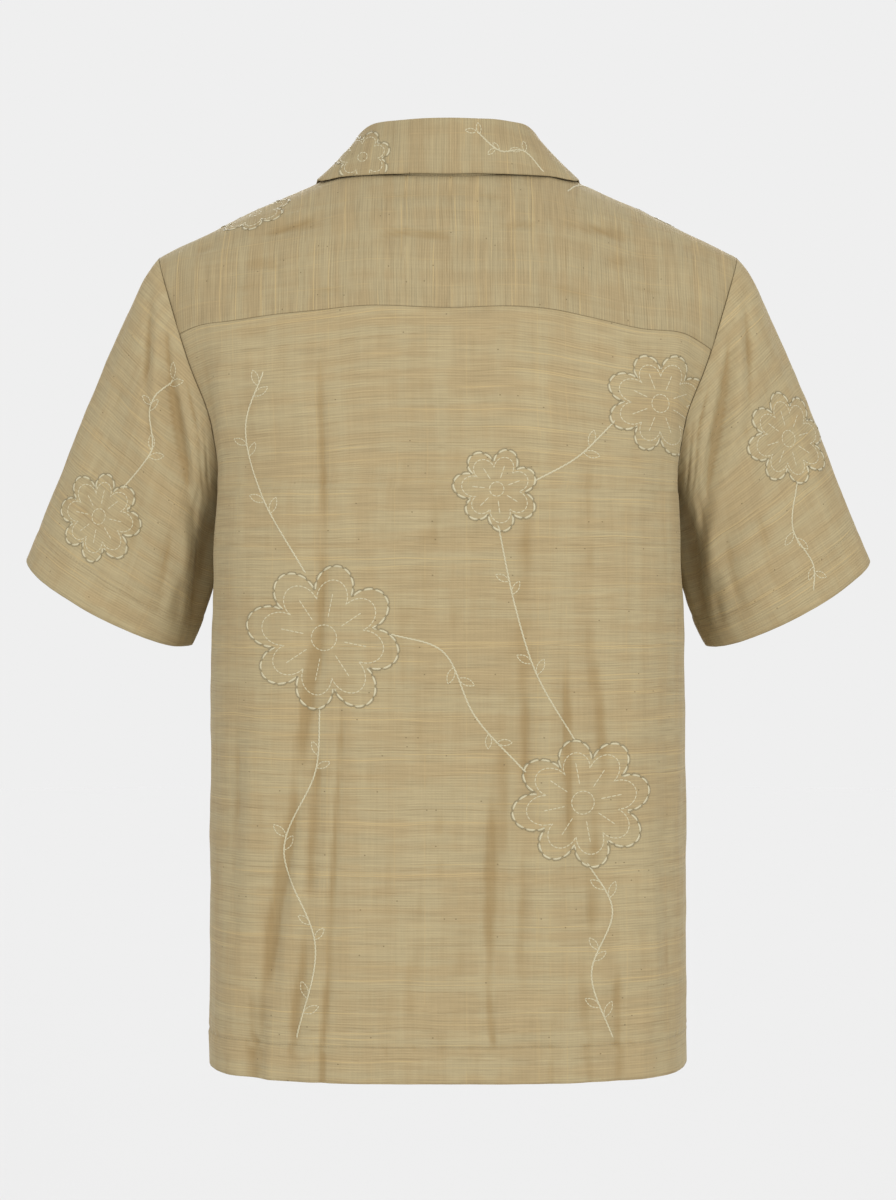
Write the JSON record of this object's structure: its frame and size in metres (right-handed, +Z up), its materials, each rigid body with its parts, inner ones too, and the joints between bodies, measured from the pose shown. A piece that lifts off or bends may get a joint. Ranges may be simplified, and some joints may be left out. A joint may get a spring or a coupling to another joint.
{
  "type": "camp shirt, filled out with no wearer",
  "caption": "Short-sleeved camp shirt in slubbed tan cloth, boxy, with a back yoke, open collar, five buttons and cream stitched flowers, filled out as if worn.",
  "frame": {"origin": "midway between the two high points of the shoulders, beside the neck, where the wearer's shoulders carry the shirt", "axes": "+X to the wearer's left, -Y to the front, +Z up"},
  "size_m": [0.6746, 0.277, 0.7285],
  "materials": {
    "back": "matte slubbed plain weave",
    "yoke": "matte slubbed plain weave",
    "front_left": "matte slubbed plain weave",
    "front_right": "matte slubbed plain weave",
    "sleeve_left": "matte slubbed plain weave",
    "sleeve_right": "matte slubbed plain weave",
    "collar": "matte slubbed plain weave",
    "lapel_left": "matte slubbed plain weave",
    "lapel_right": "matte slubbed plain weave",
    "button": "soft gloss"
  },
  "bodies": {
    "root": {"back": "back", "yoke": "yoke", "front_left": "front_left", "front_right": "front_right", "sleeve_left": "sleeve_left", "sleeve_right": "sleeve_right", "collar": "collar", "lapel_left": "lapel_left", "lapel_right": "lapel_right", "button_1": "button", "button_2": "button", "button_3": "button", "button_4": "button", "button_5": "button"}
  },
  "joints": []
}
